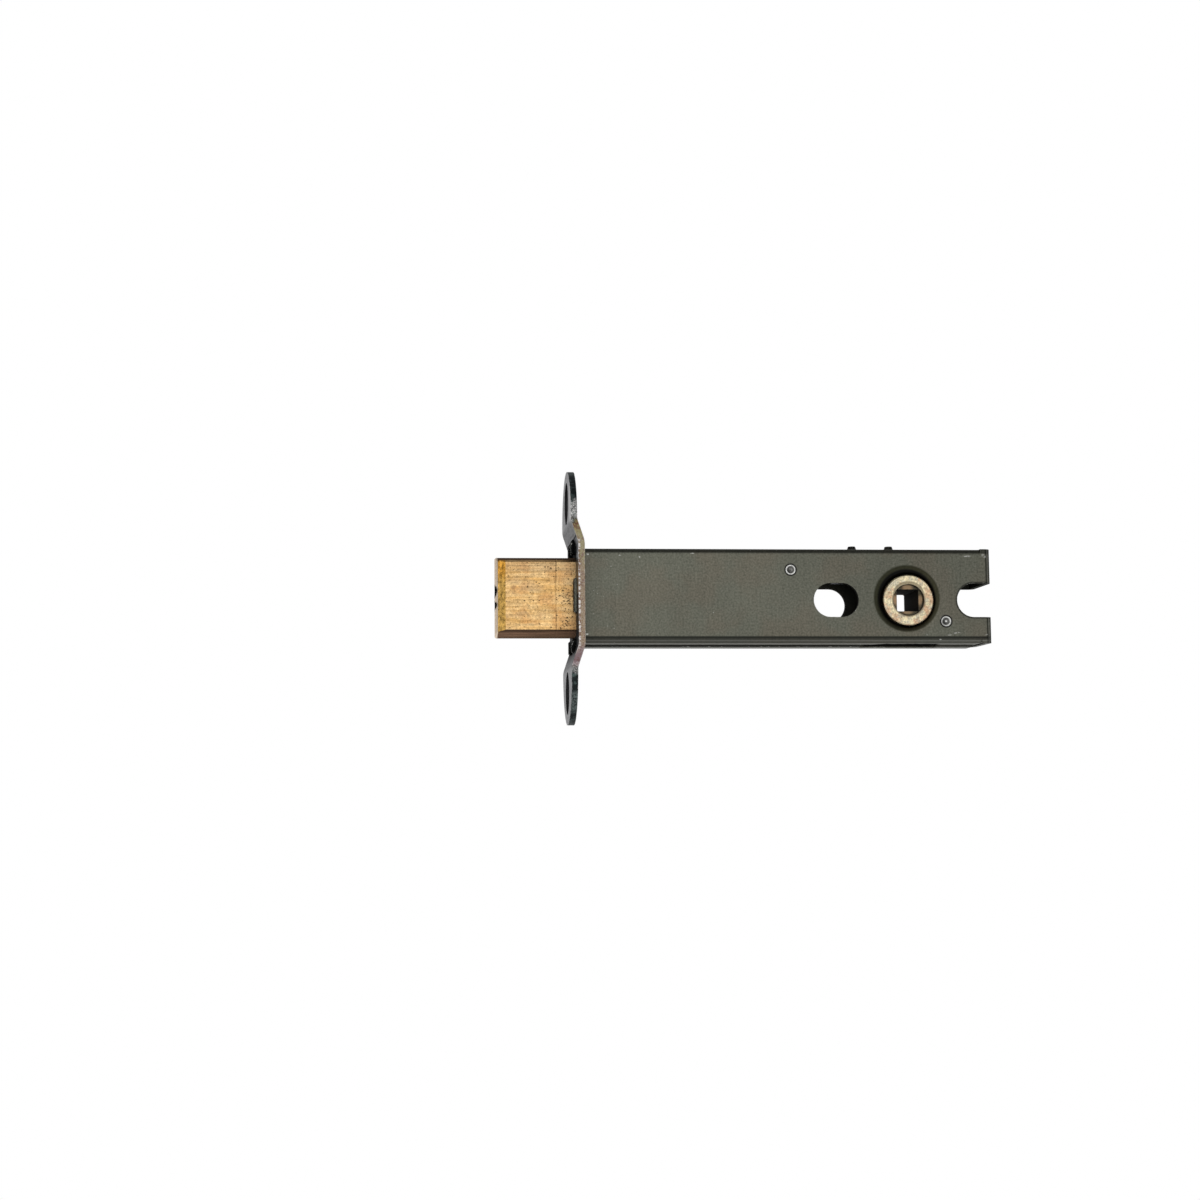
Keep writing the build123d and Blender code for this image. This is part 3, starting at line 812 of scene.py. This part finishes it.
# Bolt: drawn brass, milled flats, a filed nose and a brown skin on its round sides
boltLook = {
    "flat": (0.53, 0.315, 0.115, 1),
    "pale": (0.61, 0.41, 0.19, 1),
    "red": (0.43, 0.22, 0.078, 1),
    "grey": (0.36, 0.25, 0.14, 1),
    "nose": (0.37, 0.225, 0.060, 1),
    "orange": (0.42, 0.21, 0.034, 1),
    "skin": (0.21, 0.127, 0.082, 1),
    "end": (0.79, 0.68, 0.565, 1),
    "pit": (0.07, 0.04, 0.02, 1),
    "stain": (0.20, 0.115, 0.06, 1),
    "black": (0.010, 0.009, 0.009, 1),
    "glance": (0.74, 0.66, 0.57, 1),
    "roughness": 0.36,
    "roughSwing": 0.2,
    "rougher": {"pits": 0.2, "skin": 0.4},
    "pitMetal": 0.5,
    "bump": 0.03,
    "relief": {"line": 0.5, "grain": 0.35, "pits": 1.2, "witness": 0.8},
    # noises
    "streak": {"scale": 1.0, "detail": 5, "stretch": (0.10, 1.0, 1.1)},
    "line": {"scale": 1.0, "detail": 4, "stretch": (0.10, 1.0, 2.6), "shift": (0, 0, 11)},
    "grain": {"scale": 2.2, "detail": 5},
    "fine": {"scale": 5.0, "detail": 3, "shift": (2, 2, 2)},
    "cloud": {"scale": 0.24, "detail": 4, "shift": (4, 0, 9)},
    "mottle": (1.2, 1.6, 1.2),
    "paleRange": (0.36, 0.62),
    "redRange": (0.48, 0.64),
    "redShare": 0.6,
    "dull": {"scale": 0.3, "detail": 3, "stretch": (0.5, 1, 1.6)},
    "dullRange": (0.54, 0.68),
    "dullTop": (4.6, 6.6),
    "dullSway": 3,
    "dullShare": 0.45,
    # pits and stains
    "behind": (-2.3, -1.1),
    "behindGrey": 0.22,
    "cluster": {"scale": 0.32, "detail": 3, "shift": (9, 3, 1)},
    "clusterRange": (0.46, 0.60),
    "corroded": [
        {"x": -0.9, "z": -6.3, "length": 4.6, "width": 2.4, "tilt": 60},
        {"x": -1.4, "z": 1.2, "length": 2.6, "width": 2.0},
    ],
    "corrodedShare": 1.4,
    "pits": {"spacing": 0.55, "size": 0.42, "stretch": (0.8, 1, 1.2)},
    "pitChance": {"base": 0.05, "cluster": 0.55},
    "dots": {"spacing": 0.36, "size": 0.30, "stretch": (0.9, 1, 1.1)},
    "dotChance": {"base": 0.04, "behind": 0.16, "cluster": 0.4},
    "dotShare": 0.75,
    "pitShare": 0.8,
    "stains": [
        {"x": -12.9, "z": 2.0, "length": 1.5, "width": 1.3, "tilt": 40},
        {"x": -12.8, "z": 0.6, "length": 1.0, "width": 0.7},
    ],
    "stainGrain": (0.34, 0.56),
    "stainShare": 0.6,
    # line left by the forend
    "witness": -2.9,
    "witnessSway": 0.12,
    "witnessLine": (0.05, 0.16),
    "witnessStreak": (0.34, 0.56),
    "witnessEnds": (2.5, 5.5),
    "witnessShare": 0.22,
    "witnessMore": 0.38,
    "brightOffset": 0.3,
    "brightLine": (0.08, 0.24),
    "brightShare": 0.35,
    # filed nose, round skin, sawn end
    "noseBack": (-14.78, -14.66),
    "orangeFrom": (2.0, 6.0),
    "orangeSway": 5,
    "file": {"scale": 1.4, "detail": 5, "stretch": (1, 1, 0.7)},
    "fileMottle": (3.0, 2.2),
    "round": (9.40, 9.47),
    "wornEdge": (4.07, 4.23),
    "skinTone": (0.1, 1.8),
    "skinTop": (-2.0, 2.0),
    "skinTopDark": 0.6,
    "skinBottom": (9.15, 9.4),
    "skinSides": (4.3, 4.9),
    "skinLift": 1.25,
    "skinRimDark": 0.65,
    "noseEdge": (-16.53, -16.47),
    "saw": {"scale": 1.5, "detail": 4, "stretch": (1, 0.3, 2)},
    "sawTone": (0.6, 0.8),
    "edgeWidth": 0.3,
    "edgeShare": 0.35,
    # painted shade in the bores of the hardened pins and round them
    "boreHeight": 1.85,
    "boreWall": (1.40, 1.48),
    "grime": [(1.4, 1.7), (-1.93, 1.05)],
    "grimeReach": 4.7,
    "grimeSway": 0.6,
    "grimeSoft": (0.72, 1.02),
}


def mottleBrass(paint, look, waves):
    streak, cloud = waves["streak"], waves["cloud"]
    colour = paint.mix(paint.ramp(streak, *look["paleRange"]), look["flat"], look["pale"])
    colour = paint.mix(look["redShare"] * paint.ramp(cloud, *look["redRange"]), colour, look["red"])
    dull = paint.ramp(paint.z + streak.swing(look["dullSway"]), *look["dullTop"])
    dull = dull.atLeast(paint.patches(look["dull"], look["dullRange"]))
    colour = paint.mix(look["dullShare"] * dull, colour, look["grey"])
    return paint.tone(colour, mottled(look["mottle"], waves["line"], waves["grain"], waves["fine"]))


def pitBrass(paint, look, waves, colour):
    # pits gather behind the line left by the forend
    behind = paint.ramp(paint.x, *look["behind"])
    cluster = behind * paint.patches(look["cluster"], look["clusterRange"])
    corroded = (look["corrodedShare"] * paint.nick(**patch) for patch in look["corroded"])
    cluster = most(cluster, *corroded)
    chance = look["pitChance"]
    pits = paint.specks(share=chance["base"] + chance["cluster"] * cluster, **look["pits"])
    chance = look["dotChance"]
    share = chance["base"] + chance["behind"] * behind + chance["cluster"] * cluster
    pits = pits.atLeast(look["dotShare"] * paint.specks(share=share, **look["dots"]))
    colour = paint.mix(look["behindGrey"] * behind, colour, look["grey"])
    for mark in look["stains"]:
        share = paint.nick(**mark) * paint.ramp(waves["grain"], *look["stainGrain"])
        colour = paint.mix(look["stainShare"] * share, colour, look["stain"])
    return paint.mix(look["pitShare"] * pits, colour, look["pit"]), pits


def markWitness(paint, look, waves, colour):
    # the forend has left a dark line with a bright one behind it
    ahead = paint.x + waves["grain"].swing(look["witnessSway"])
    witness = paint.line(ahead, look["witness"], look["witnessLine"])
    bright = paint.line(ahead, look["witness"] + look["brightOffset"], look["brightLine"])
    colour = paint.mix(look["brightShare"] * bright, colour, look["pale"])
    strong = look["witnessMore"] * paint.ramp(abs(paint.z), *look["witnessEnds"])
    strong = (look["witnessShare"] + strong) * witness
    strong = strong * paint.ramp(waves["streak"], *look["witnessStreak"])
    return paint.mix(strong, colour, look["pit"]), witness


def fileNose(paint, look, waves, colour):
    nose = paint.fade(paint.x, *look["noseBack"])
    tinted = paint.ramp(paint.z + waves["cloud"].swing(look["orangeSway"]), *look["orangeFrom"])
    filed = paint.mix(tinted, look["nose"], look["orange"])
    filed = paint.tone(filed, mottled(look["fileMottle"], paint.noise(**look["file"]), waves["fine"]))
    return paint.mix(nose, colour, filed)


def brownSides(paint, look, waves, colour):
    # the round sides keep their brown skin; painted shade makes it darker above and towards its rims
    skin = paint.ramp(paint.y.hypot(paint.z), *look["round"])
    skin = skin * (1 - paint.ramp(abs(paint.y), *look["wornEdge"]) * (paint.z > 0))
    base, gain = look["skinTone"]
    top = 1 - look["skinTopDark"] * paint.ramp(paint.z, *look["skinTop"])
    brown = paint.tone(look["skin"], (base + gain * waves["streak"]) * top)
    rims = paint.ramp(0 - paint.z, *look["skinBottom"])
    rims = rims.atLeast(paint.ramp(abs(paint.y), *look["skinSides"]))
    brown = paint.tone(brown, look["skinLift"] - look["skinRimDark"] * rims)
    return paint.mix(skin, colour, brown), skin


def sawEnd(paint, look, waves, colour):
    # pale sawn end, with painted shade smeared across it round the hardened pins
    sawn = paint.fade(paint.x, *look["noseEdge"])
    sway = waves["grain"].swing(look["grimeSway"])
    across = paint.y / look["grimeReach"]
    ovals = (across.hypot((paint.z - up) / reach) for up, reach in look["grime"])
    grime = most(*(paint.fade(oval + sway, *look["grimeSoft"]) for oval in ovals))
    film(paint, grime * sawn, look["black"])
    base, gain = look["sawTone"]
    return paint.mix(sawn, colour, paint.tone(look["end"], base + gain * paint.noise(**look["saw"])))


def drawBrass(look):
    paint = newFinish("boltBrass", Specular_IOR_Level=0.5, Specular_Tint=look["glance"])
    waves = paint.waves(look, "streak", "line", "grain", "fine", "cloud")
    grain = waves["grain"]
    colour = mottleBrass(paint, look, waves)
    colour, pits = pitBrass(paint, look, waves, colour)
    colour, witness = markWitness(paint, look, waves, colour)
    colour = fileNose(paint, look, waves, colour)
    colour, skin = brownSides(paint, look, waves, colour)
    colour = sawEnd(paint, look, waves, colour)
    rubbed = paint.edges(look["edgeWidth"]) * (1 - skin)
    colour = paint.mix(look["edgeShare"] * rubbed, colour, look["pale"])
    # painted shade in the bores of the two hardened pins
    bore = paint.fade((abs(paint.z) - look["boreHeight"]).hypot(paint.y), *look["boreWall"])
    colour = paint.mix(bore, colour, look["pit"])
    rougher = look["rougher"]
    roughness = look["roughness"] + grain.swing(look["roughSwing"])
    roughness = roughness + rougher["pits"] * pits + rougher["skin"] * skin
    relief = look["relief"]
    height = relief["line"] * waves["line"] + relief["grain"] * grain
    height = height - relief["pits"] * pits - relief["witness"] * witness
    dress(paint, ["bolt_head"], Base_Color=colour, Roughness=roughness,
          Metallic=1 - look["pitMetal"] * pits, Normal=paint.bump(height, look["bump"]))


drawBrass(boltLook)

# Follower: pale sintered bronze, mottled, with painted highlights on its rims, painted glints, and
# painted shade in its socket
followerLook = {
    "pale": (0.71, 0.62, 0.41, 1),
    "tan": (0.57, 0.385, 0.24, 1),
    "floor": (0.23, 0.15, 0.085, 1),
    "grey": (0.50, 0.47, 0.37, 1),
    "pit": (0.11, 0.08, 0.05, 1),
    "rim": (0.85, 0.79, 0.62, 1),
    "oily": (0.014, 0.012, 0.009, 1),
    "bevel": (0.16, 0.125, 0.075, 1),
    "roughness": 0.40,
    "roughSwing": 0.25,
    "rimSmooth": 0.1,
    "socketRough": 0.6,
    "pitMetal": 0.4,
    "bump": 0.03,
    "grainRelief": 0.6,
    # noises and specks
    "blotch": {"scale": 0.55, "detail": 5},
    "tanRange": (0.46, 0.62),
    "pinkRear": (1.5, 5.5),
    "pinkRearShare": 0.10,
    "paleTop": (1.5, 5.0),
    "paleTopShare": 0.06,
    "grain": {"scale": 2.4, "detail": 5},
    "mottle": (2.0,),
    "greyNoise": {"scale": 0.9, "detail": 4, "shift": (7, 1, 3)},
    "greyRange": (0.5, 0.62),
    "greyShare": 0.7,
    "pits": {"spacing": 0.8, "size": 0.36, "share": 0.18},
    "pitShare": 0.7,
    "glint": {"spacing": 1.2, "size": 0.45, "share": 0.10},
    "edgeWidth": 0.3,
    "brights": {"rim": 0.55, "glint": 0.7},
    # painted shade in the square socket and the round mouth, with a painted lit patch on the mouth's
    # floor
    "spindle": (80.0, -1.0),
    "square": (2.62, 2.70),
    "squareDeep": (5.95, 6.02),
    "mouth": 3.75,
    "mouthStain": (0.04, 0.30),
    "stainDeep": (6.55, 6.85),
    "mouthWall": (3.70, 3.78),
    "wallDeep": (6.15, 6.55),
    "sunkShare": 0.92,
    "litMiddle": (80.0, -0.72),
    "litReach": (3.30, 3.65),
    "litArms": (0.5, 1.7),
    "floorTone": (0.4, 1.2),
    "darks": {"socket": 0.96, "stain": 0.75},
    # painted shade on the lip of the mouth
    "lipRise": 0.42,
    "lipTop": (1.2, 3.6),
    "lipReach": (3.87, 4.13),
    "lipShare": 0.72,
}


def fromSpindle(paint, look):
    return paint.x - look["spindle"][0], paint.z - look["spindle"][1]


def mottleBronze(paint, look, blotch, grain):
    # pinker towards the rear; paler above as painted light
    rearward, upward = fromSpindle(paint, look)
    pinker = look["pinkRearShare"] * paint.ramp(rearward, *look["pinkRear"])
    pinker = pinker - look["paleTopShare"] * paint.ramp(upward, *look["paleTop"])
    colour = paint.mix(paint.ramp(blotch + pinker, *look["tanRange"]), look["pale"], look["tan"])
    grey = paint.patches(look["greyNoise"], look["greyRange"])
    colour = paint.mix(look["greyShare"] * grey, colour, look["grey"])
    return paint.tone(colour, mottled(look["mottle"], grain))


def darkenSocket(paint, look, blotch, colour):
    # painted shade: a near black square, a mouth darker towards its wall, and a dark floor with a lit
    # patch
    across, up = (abs(way) for way in fromSpindle(paint, look))
    depth = abs(paint.y)
    ring = across.hypot(up)
    socket = paint.fade(across.atLeast(up), *look["square"]) * paint.fade(depth, *look["squareDeep"])
    stain = paint.line(ring, look["mouth"], look["mouthStain"]) * paint.fade(depth, *look["stainDeep"])
    sunk = paint.fade(ring, *look["mouthWall"]) * paint.fade(depth, *look["wallDeep"])
    lit = paint.fade(across.atMost(up), *look["litArms"])
    lit = lit * paint.fade(paint.around(*look["litMiddle"]), *look["litReach"])
    base, gain = look["floorTone"]
    floor = paint.mix(lit, look["oily"], paint.tone(look["floor"], base + gain * blotch))
    colour = paint.mix(look["sunkShare"] * sunk, colour, floor)
    dark = layered(look["darks"], socket=socket, stain=stain)
    return paint.mix(dark, colour, look["oily"]), socket


def dullLip(paint, look, colour):
    # painted shade on the lip of the mouth, wider above
    upward = fromSpindle(paint, look)[1]
    lip = paint.around(*look["spindle"]) - look["lipRise"] * paint.ramp(upward, *look["lipTop"])
    dull = paint.fade(lip, *look["lipReach"]) * paint.ramp(abs(paint.y), *look["stainDeep"])
    return paint.mix(look["lipShare"] * dull, colour, look["bevel"])


def sinterFollower(look):
    paint = newFinish("followerBronze", Specular_IOR_Level=0.5)
    blotch = paint.noise(**look["blotch"])
    grain = paint.noise(**look["grain"])
    colour = mottleBronze(paint, look, blotch, grain)
    pits = paint.specks(**look["pits"])
    colour = paint.mix(look["pitShare"] * pits, colour, look["pit"])
    # painted highlights along the rims, and painted glints
    rim = paint.edges(look["edgeWidth"])
    shine = layered(look["brights"], rim=rim, glint=paint.specks(**look["glint"]))
    colour = paint.mix(shine, colour, look["rim"])
    colour, socket = darkenSocket(paint, look, blotch, colour)
    colour = dullLip(paint, look, colour)
    roughness = look["roughness"] + grain.swing(look["roughSwing"])
    roughness = roughness - look["rimSmooth"] * rim + look["socketRough"] * socket
    height = look["grainRelief"] * grain - pits
    dress(paint, ["follower"], Base_Color=colour, Roughness=roughness,
          Metallic=1 - look["pitMetal"] * pits, Normal=paint.bump(height, look["bump"]))


sinterFollower(followerLook)

# Cross pins: riveted steel, a bright hammered rim round a dull dish, and painted shade round the heads
# and on the shanks
pinLook = {
    "steel": (0.55, 0.55, 0.53, 1),
    "dish": (0.150, 0.150, 0.142, 1),
    "dark": (0.070, 0.070, 0.066, 1),
    "bright": (0.98, 0.98, 0.96, 1),
    "gap": (0.02, 0.02, 0.02, 1),
    "front": (52.1, 6.1),
    "rear": (88.85, -6.0),
    "groove": 0.62,
    "grooveLine": (0.06, 0.26),
    "rim": (0.84, 0.98),
    "fall": (1.10, 1.24),
    "burr": (0.10, 0.26),
    "neck": (6.40, 6.50),
    "grain": {"scale": 3.0, "detail": 4},
    "mottle": (1.4,),
    "roughness": 0.34,
    "roughSwing": 0.2,
    "bump": 0.02,
}


def brightenPins(look):
    paint = newFinish("pinSteel", Specular_IOR_Level=0.5, Metallic=0.9)
    grain = paint.noise(**look["grain"])
    rear = paint.around(*look["rear"])
    middle = rear.atMost(paint.around(*look["front"]))
    groove = paint.line(middle, look["groove"], look["grooveLine"])
    colour = paint.mix(groove, look["dish"], look["dark"])
    colour = paint.mix(paint.ramp(middle, *look["rim"]), colour, look["steel"])
    # painted shade in the gap round each head
    colour = paint.mix(paint.ramp(middle, *look["fall"]), colour, look["gap"])
    colour = paint.tone(colour, mottled(look["mottle"], grain))
    # a bright dot stands in the middle of the rear pin; painted shade darkens the shank below the
    # heads
    colour = paint.mix(paint.fade(rear, *look["burr"]), colour, look["bright"])
    colour = paint.mix(paint.fade(abs(paint.y), *look["neck"]), colour, look["gap"])
    roughness = look["roughness"] + grain.swing(look["roughSwing"])
    dress(paint, ["front_pin", "rear_pin"], Base_Color=colour, Roughness=roughness,
          Normal=paint.bump(grain, look["bump"]))


brightenPins(pinLook)

# Plain steels: the pins in the bolt's end, the tail and its rivets, the spring and its rivets
rolled = {
    "streak": {"scale": 1.6, "detail": 4},
    "lightRange": (0.35, 0.65),
    "grain": {"scale": 4.0, "detail": 3},
    "edgeWidth": 0.2,
    "edgeShare": 0.5,
    "edgeGain": 1.8,
    "grimeRange": (0.30, 0.45),
    "roughSwing": 0.2,
    "relief": {"grain": 0.5, "streak": 0.4},
    "bump": 0.02,
}
steelLooks = [
    {"name": "hardenedSteel", "nodes": ["hardened_pin_upper", "hardened_pin_lower"],
     "dark": (0.012, 0.012, 0.014, 1), "light": (0.07, 0.07, 0.075, 1),
     "stretch": (0.3, 1, 1), "roughness": 0.38, "grimyTo": -16.0},
    {"name": "tailSteel", "nodes": ["bolt_tail", "tail_rivet_front", "tail_rivet_rear"],
     "dark": (0.16, 0.16, 0.17, 1), "light": (0.40, 0.40, 0.41, 1),
     "stretch": (0.1, 1, 1), "roughness": 0.36},
    {"name": "springSteel", "nodes": ["detent_spring"],
     "dark": (0.06, 0.065, 0.085, 1), "light": (0.24, 0.25, 0.29, 1),
     "stretch": (0.15, 1, 1), "roughness": 0.30},
    {"name": "rivetBlack", "nodes": ["spring_rivet_front", "spring_rivet_rear"],
     "dark": (0.008, 0.008, 0.007, 1), "light": (0.030, 0.030, 0.026, 1),
     "stretch": (1, 1, 1), "roughness": 0.50},
]


def rollSteel(look, common):
    paint = newFinish(look["name"], Metallic=0.85, Specular_IOR_Level=0.5)
    streak = paint.noise(stretch=look["stretch"], **common["streak"])
    grain = paint.noise(**common["grain"])
    colour = paint.mix(paint.ramp(streak, *common["lightRange"]), look["dark"], look["light"])
    worn = tuple(min(1, common["edgeGain"] * part) for part in look["light"])
    colour = paint.mix(common["edgeShare"] * paint.edges(common["edgeWidth"]), colour, worn)
    # painted shade over the ends of the hardened pins
    if "grimyTo" in look:
        grime = (paint.x < look["grimyTo"]) * paint.ramp(grain, *common["grimeRange"])
        film(paint, grime, look["dark"])
    roughness = look["roughness"] + grain.swing(common["roughSwing"])
    height = common["relief"]["grain"] * grain + common["relief"]["streak"] * streak
    dress(paint, look["nodes"], Base_Color=colour, Roughness=roughness,
          Normal=paint.bump(height, common["bump"]))


for steelLook in steelLooks:
    rollSteel(steelLook, rolled)

bpy.context.scene.view_settings.view_transform = "Standard"
